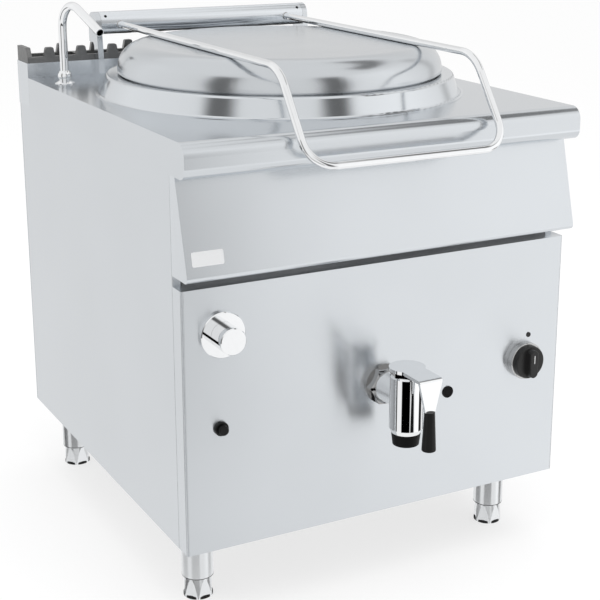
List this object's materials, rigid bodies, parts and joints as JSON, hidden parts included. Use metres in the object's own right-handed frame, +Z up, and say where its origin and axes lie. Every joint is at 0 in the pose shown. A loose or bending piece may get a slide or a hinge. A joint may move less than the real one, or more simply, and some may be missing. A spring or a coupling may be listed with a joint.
{
  "type": "steam jacketed kettle",
  "caption": "Free-standing gas boiling pan: steam-jacketed vessel in a steel cabinet with a hinged lid, swivel filling spout, drain valve and levelling feet.",
  "frame": {"origin": "on the floor, below the middle of the overall width and depth", "axes": "+Z up, +X to the operator's right, -Y towards the operator"},
  "size_m": [0.8, 1.0409, 1.0545],
  "materials": {
    "brushed_panels": "brushed stainless sheet",
    "polished_steel": "polished stainless steel",
    "chromed_fittings": "bright chrome",
    "satin_dial": "satin metal",
    "black_plastic": "moulded black, slight sheen",
    "cast_grille": "dull cast stainless",
    "bracket_steel": "satin grey",
    "sheet_steel": "mill finish",
    "brass": "machined"
  },
  "bodies": {
    "cabinet": {"back_panel": "brushed_panels", "balance_springs": "bracket_steel", "base_frame": "bracket_steel", "burners": "sheet_steel", "collar": "polished_steel", "combustion_chamber": "sheet_steel", "corner_posts": "brushed_panels", "drain_bonnet": "chromed_fittings", "drain_mouth": "chromed_fittings", "drain_pipe": "polished_steel", "drain_union": "chromed_fittings", "drain_valve_body": "chromed_fittings", "fascia": "brushed_panels", "filling_pipe": "sheet_steel", "flue_duct": "sheet_steel", "flue_grille": "cast_grille", "front_panel": "brushed_panels", "gas_manifold": "sheet_steel", "gas_pipe": "sheet_steel", "gas_valve": "brass", "hinge_axle": "polished_steel", "hinge_brackets": "bracket_steel", "igniter_bezel": "chromed_fittings", "igniter_spring": "bracket_steel", "jacket": "sheet_steel", "leg_tubes": "polished_steel", "pilot_burner": "sheet_steel", "relief_valve": "brass", "side_panel_left": "brushed_panels", "side_panel_right": "brushed_panels", "sight_port": "chromed_fittings", "spout_base": "chromed_fittings", "strainer": "polished_steel", "upstand": "brushed_panels", "vessel": "polished_steel", "water_rosette": "chromed_fittings", "water_supply_pipe": "sheet_steel", "water_valve": "brass", "worktop": "brushed_panels"},
    "lid": {"lid_shell": "polished_steel", "lid_liner": "polished_steel", "lid_handle": "polished_steel", "hinge_tube": "polished_steel", "hinge_bushes": "brass"},
    "spout": {"spout_tube": "chromed_fittings"},
    "water_control": {"water_knob": "chromed_fittings", "water_stem": "chromed_fittings"},
    "gas_control": {"control_dial": "satin_dial", "control_knob": "black_plastic", "control_stem": "chromed_fittings"},
    "igniter": {"igniter_button": "black_plastic"},
    "drain_tap": {"drain_plug": "chromed_fittings", "drain_lever": "chromed_fittings", "drain_grip": "black_plastic"},
    "leg_foot_front_left": {"foot_front_left": "polished_steel"},
    "leg_foot_front_right": {"foot_front_right": "polished_steel"},
    "leg_foot_back_left": {"foot_back_left": "polished_steel"},
    "leg_foot_back_right": {"foot_back_right": "polished_steel"}
  },
  "joints": [
    {"name": "lid_hinge", "type": "hinge", "parent": "cabinet", "child": "lid", "pos_m": [0, 0.4545, 0.993], "axis": [-1, 0, 0], "range_deg": [0, 90]},
    {"name": "spout_swivel", "type": "hinge", "parent": "cabinet", "child": "spout", "pos_m": [-0.354, 0.3455, 0.902], "axis": [0, 0, 1], "range_deg": [-55, 55]},
    {"name": "water_knob_turn", "type": "hinge", "parent": "cabinet", "child": "water_control", "pos_m": [-0.325, -0.3485, 0.548], "axis": [0, 1, 0], "range_deg": [0, 90]},
    {"name": "gas_knob_turn", "type": "hinge", "parent": "cabinet", "child": "gas_control", "pos_m": [0.316, -0.3485, 0.394], "axis": [0, 1, 0], "range_deg": [0, 270]},
    {"name": "igniter_press", "type": "slide", "parent": "cabinet", "child": "igniter", "axis": [0, 1, 0], "range_m": [0, 0.005], "stiffness_N_per_m": 1500},
    {"name": "drain_lever_turn", "type": "hinge", "parent": "cabinet", "child": "drain_tap", "pos_m": [-0.003, -0.4315, 0.42], "axis": [0, 0, 1], "range_deg": [0, 90]},
    {"name": "foot_front_left_height", "type": "slide", "parent": "cabinet", "child": "leg_foot_front_left", "axis": [0, 0, -1], "range_m": [0, 0.04]},
    {"name": "foot_front_right_height", "type": "slide", "parent": "cabinet", "child": "leg_foot_front_right", "axis": [0, 0, -1], "range_m": [0, 0.04]},
    {"name": "foot_back_left_height", "type": "slide", "parent": "cabinet", "child": "leg_foot_back_left", "axis": [0, 0, -1], "range_m": [0, 0.04]},
    {"name": "foot_back_right_height", "type": "slide", "parent": "cabinet", "child": "leg_foot_back_right", "axis": [0, 0, -1], "range_m": [0, 0.04]}
  ]
}
